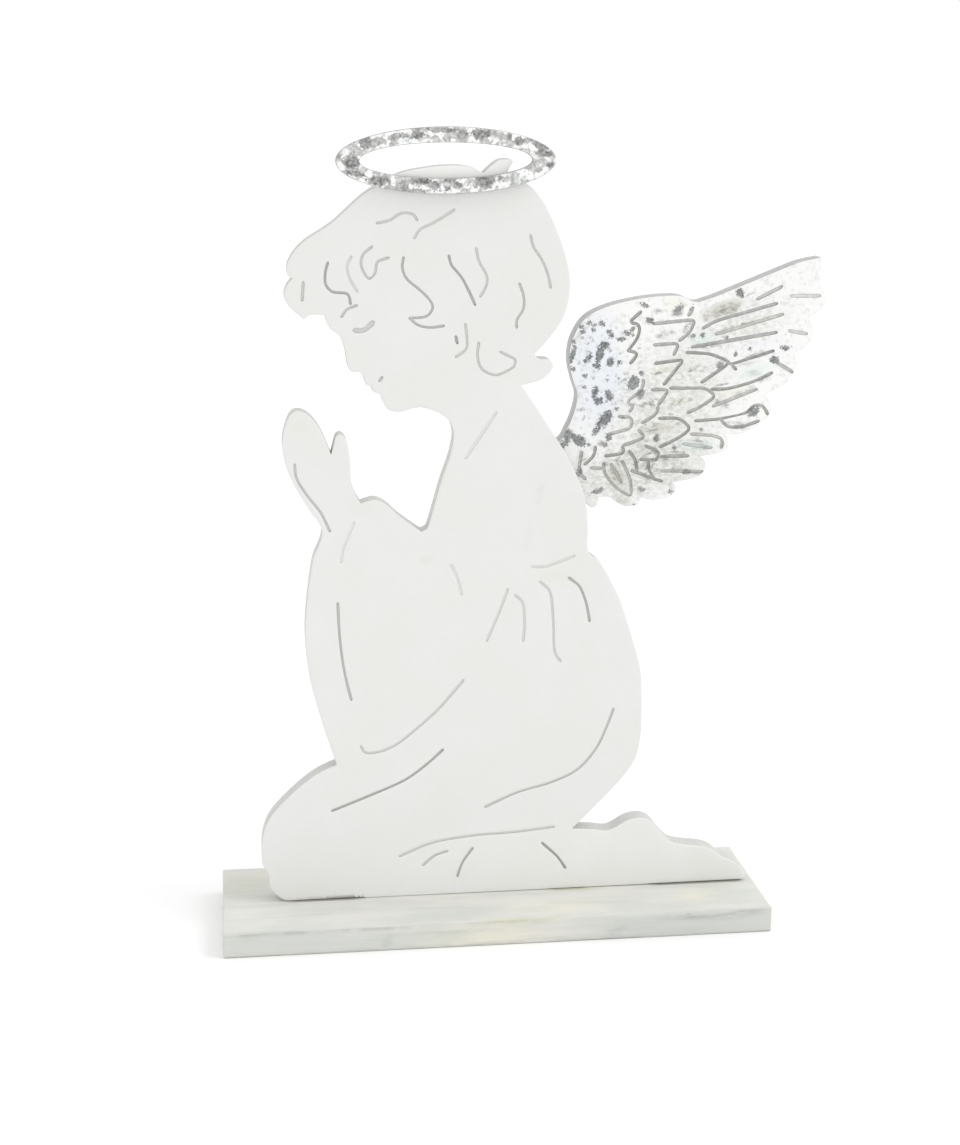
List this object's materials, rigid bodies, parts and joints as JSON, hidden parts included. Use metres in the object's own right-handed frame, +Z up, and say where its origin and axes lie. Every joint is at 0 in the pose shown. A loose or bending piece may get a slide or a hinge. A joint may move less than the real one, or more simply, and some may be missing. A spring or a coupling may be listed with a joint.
{
  "type": "kneeling angel silhouette ornament",
  "caption": "Flat white-painted wooden silhouette of a kneeling, praying child angel with a flaked silver wing and halo, standing on a whitewashed plank.",
  "frame": {"origin": "centre of the plank's underside", "axes": "+Z up, +X along the plank towards the feet and wing, the carved front faces -Y"},
  "size_m": [0.2332, 0.064, 0.3051],
  "materials": {
    "base_whitewash": "matt whitewash with faint cream and grey-green blotches",
    "figure_paint": "satin white paint",
    "wing_foil_paint": "pearly white paint with silver flakes",
    "halo_foil_paint": "white paint largely covered in silver flakes"
  },
  "bodies": {
    "root": {"base_plank": "base_whitewash", "angel_figure": "figure_paint", "wing_plate": "wing_foil_paint", "halo_ring": "halo_foil_paint"}
  },
  "joints": []
}
